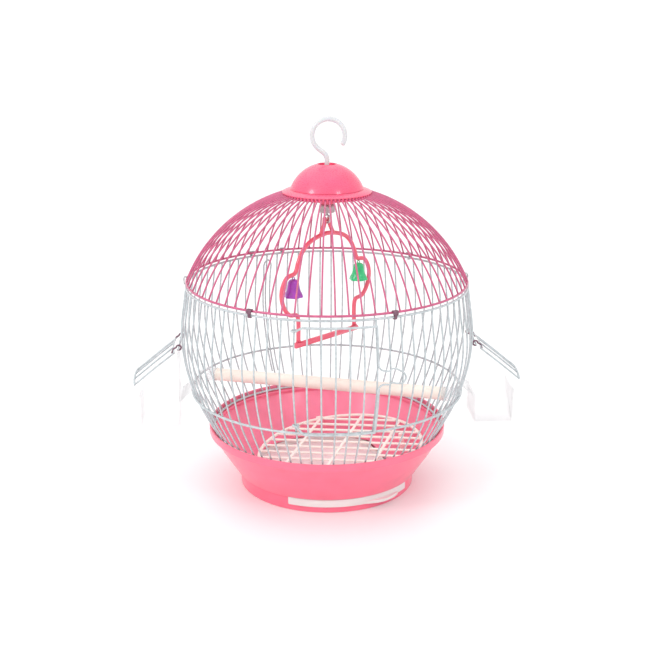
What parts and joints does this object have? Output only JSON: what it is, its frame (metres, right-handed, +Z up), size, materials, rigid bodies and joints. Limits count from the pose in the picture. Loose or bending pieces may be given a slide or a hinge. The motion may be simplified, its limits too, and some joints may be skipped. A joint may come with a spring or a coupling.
{
  "type": "hanging bird cage",
  "caption": "Ball-shaped hanging wire bird cage with a moulded tub, pull-out tray, front door, side feeders with flaps, perch, and a swing with bells.",
  "frame": {"origin": "centre of the tub's underside, on the surface it stands on", "axes": "+Z up through the hook, the front door faces -Y, the feeders are at +X and -X"},
  "size_m": [0.4032, 0.3077, 0.3847],
  "materials": {
    "pink_plastic": "glossy",
    "pink_wire": "coated, glossy",
    "white_wire": "coated, glossy",
    "white_plastic": "satin",
    "cream_plastic": "satin",
    "clear_plastic": "clear",
    "frosted_plastic": "translucent",
    "coral_plastic": "glossy",
    "purple_plastic": "glossy",
    "green_plastic": "glossy",
    "wood": "bare",
    "clip_steel": "folded sheet",
    "link_steel": "wire"
  },
  "bodies": {
    "tub": {"tub": "pink_plastic"},
    "cage": {"belly_front": "white_wire", "belly_front_right": "white_wire", "belly_mid_right": "white_wire", "belly_feeder_right": "white_wire", "belly_back_right": "white_wire", "belly_rear_right": "white_wire", "belly_rear": "white_wire", "belly_rear_left": "white_wire", "belly_back_left": "white_wire", "belly_feeder_left": "white_wire", "belly_mid_left": "white_wire", "belly_front_left": "white_wire", "dome_01": "pink_wire", "dome_02": "pink_wire", "dome_03": "pink_wire", "dome_04": "pink_wire", "dome_05": "pink_wire", "dome_06": "pink_wire", "dome_07": "pink_wire", "dome_08": "pink_wire", "dome_09": "pink_wire", "dome_10": "pink_wire", "dome_11": "pink_wire", "dome_12": "pink_wire", "collar": "pink_plastic", "cap": "pink_plastic", "food_clip": "clip_steel", "perch": "wood", "perch_end_right": "clear_plastic", "perch_end_left": "clear_plastic", "clip_1": "clip_steel", "clip_2": "clip_steel", "clip_3": "clip_steel", "clip_4": "clip_steel", "clip_5": "clip_steel", "clip_6": "clip_steel", "clip_7": "clip_steel"},
    "tray": {"tray": "white_plastic"},
    "grille": {"grille": "cream_plastic"},
    "hook": {"hook": "frosted_plastic", "hanger_nut": "frosted_plastic"},
    "front_door": {"front_door": "white_wire"},
    "flap_right": {"flap_right": "white_wire"},
    "flap_left": {"flap_left": "white_wire"},
    "cup_right": {"cup_right": "clear_plastic"},
    "cup_left": {"cup_left": "clear_plastic"},
    "swing_link": {"swing_link": "link_steel"},
    "swing": {"swing_frame": "coral_plastic", "swing_bar": "coral_plastic"},
    "bell_purple": {"bell_purple": "purple_plastic"},
    "bell_green": {"bell_green": "green_plastic"}
  },
  "joints": [
    {"name": "cage_lift", "type": "slide", "parent": "tub", "child": "cage", "axis": [0, 0, 1], "range_m": [0, 0.09]},
    {"name": "grille_lift", "type": "slide", "parent": "tub", "child": "grille", "axis": [0, 0, 1], "range_m": [0, 0.025]},
    {"name": "tray_pull", "type": "slide", "parent": "tub", "child": "tray", "axis": [0.2588, -0.9659, 0], "range_m": [0, 0.15]},
    {"name": "hook_swivel", "type": "hinge", "parent": "cage", "child": "hook", "pos_m": [0, 0, 0.33755], "axis": [0, 0, 1], "continuous": true},
    {"name": "door_hinge", "type": "hinge", "parent": "cage", "child": "front_door", "pos_m": [-0.03672, -0.13703, 0.11215], "axis": [0.0105, 0.0392, -0.9992], "range_deg": [0, 95]},
    {"name": "flap_hinge_right", "type": "hinge", "parent": "cage", "child": "flap_right", "pos_m": [0.1525, 0, 0.15425], "axis": [0, -1, 0], "range_deg": [0, 80]},
    {"name": "flap_hinge_left", "type": "hinge", "parent": "cage", "child": "flap_left", "pos_m": [-0.1525, 0, 0.15425], "axis": [0, 1, 0], "range_deg": [0, 80]},
    {"name": "cup_pull_right", "type": "slide", "parent": "cage", "child": "cup_right", "axis": [0.7771, 0, -0.6293], "range_m": [0, 0.06]},
    {"name": "cup_pull_left", "type": "slide", "parent": "cage", "child": "cup_left", "axis": [-0.7771, 0, -0.6293], "range_m": [0, 0.06]},
    {"name": "link_turn", "type": "hinge", "parent": "hook", "child": "swing_link", "pos_m": [0, 0, 0.28865], "axis": [0, 0, 1], "continuous": true},
    {"name": "swing_sway", "type": "hinge", "parent": "swing_link", "child": "swing", "pos_m": [0, 0, 0.28025], "axis": [0.7193, 0.6947, 0], "range_deg": [-35, 35]},
    {"name": "bell_purple_sway", "type": "hinge", "parent": "swing", "child": "bell_purple", "pos_m": [-0.03525, -0.03404, 0.23225], "axis": [0.7193, 0.6947, 0], "range_deg": [-25, 25]},
    {"name": "bell_green_sway", "type": "hinge", "parent": "swing", "child": "bell_green", "pos_m": [0.03525, 0.03404, 0.23225], "axis": [0.7193, 0.6947, 0], "range_deg": [-25, 25]}
  ]
}
